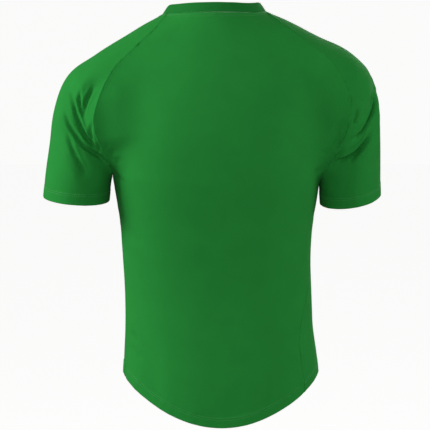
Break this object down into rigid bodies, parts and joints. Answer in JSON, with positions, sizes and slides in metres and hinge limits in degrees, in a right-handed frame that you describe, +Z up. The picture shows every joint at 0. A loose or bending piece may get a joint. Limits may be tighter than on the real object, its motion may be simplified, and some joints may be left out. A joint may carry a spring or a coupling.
{
  "type": "football jersey",
  "caption": "Short-sleeved raglan football jersey with a rib crew neck and a hem that drops at the back, filled out as when worn and hollow inside.",
  "frame": {"origin": "middle of the neck opening, level with the shoulders beside the collar, where the jersey rests on its wearer", "axes": "+Z up, along the wearer's spine; +Y towards the back of the jersey, -Y its front; +X the wearer's left"},
  "size_m": [0.5589, 0.2345, 0.6855],
  "materials": {
    "jersey_knit": "matte polyester knit with a slight sheen",
    "rib_knit": "matte rib knit"
  },
  "bodies": {
    "root": {"back": "jersey_knit", "front": "jersey_knit", "sleeve_left": "jersey_knit", "sleeve_right": "jersey_knit", "collar": "rib_knit"}
  },
  "joints": []
}
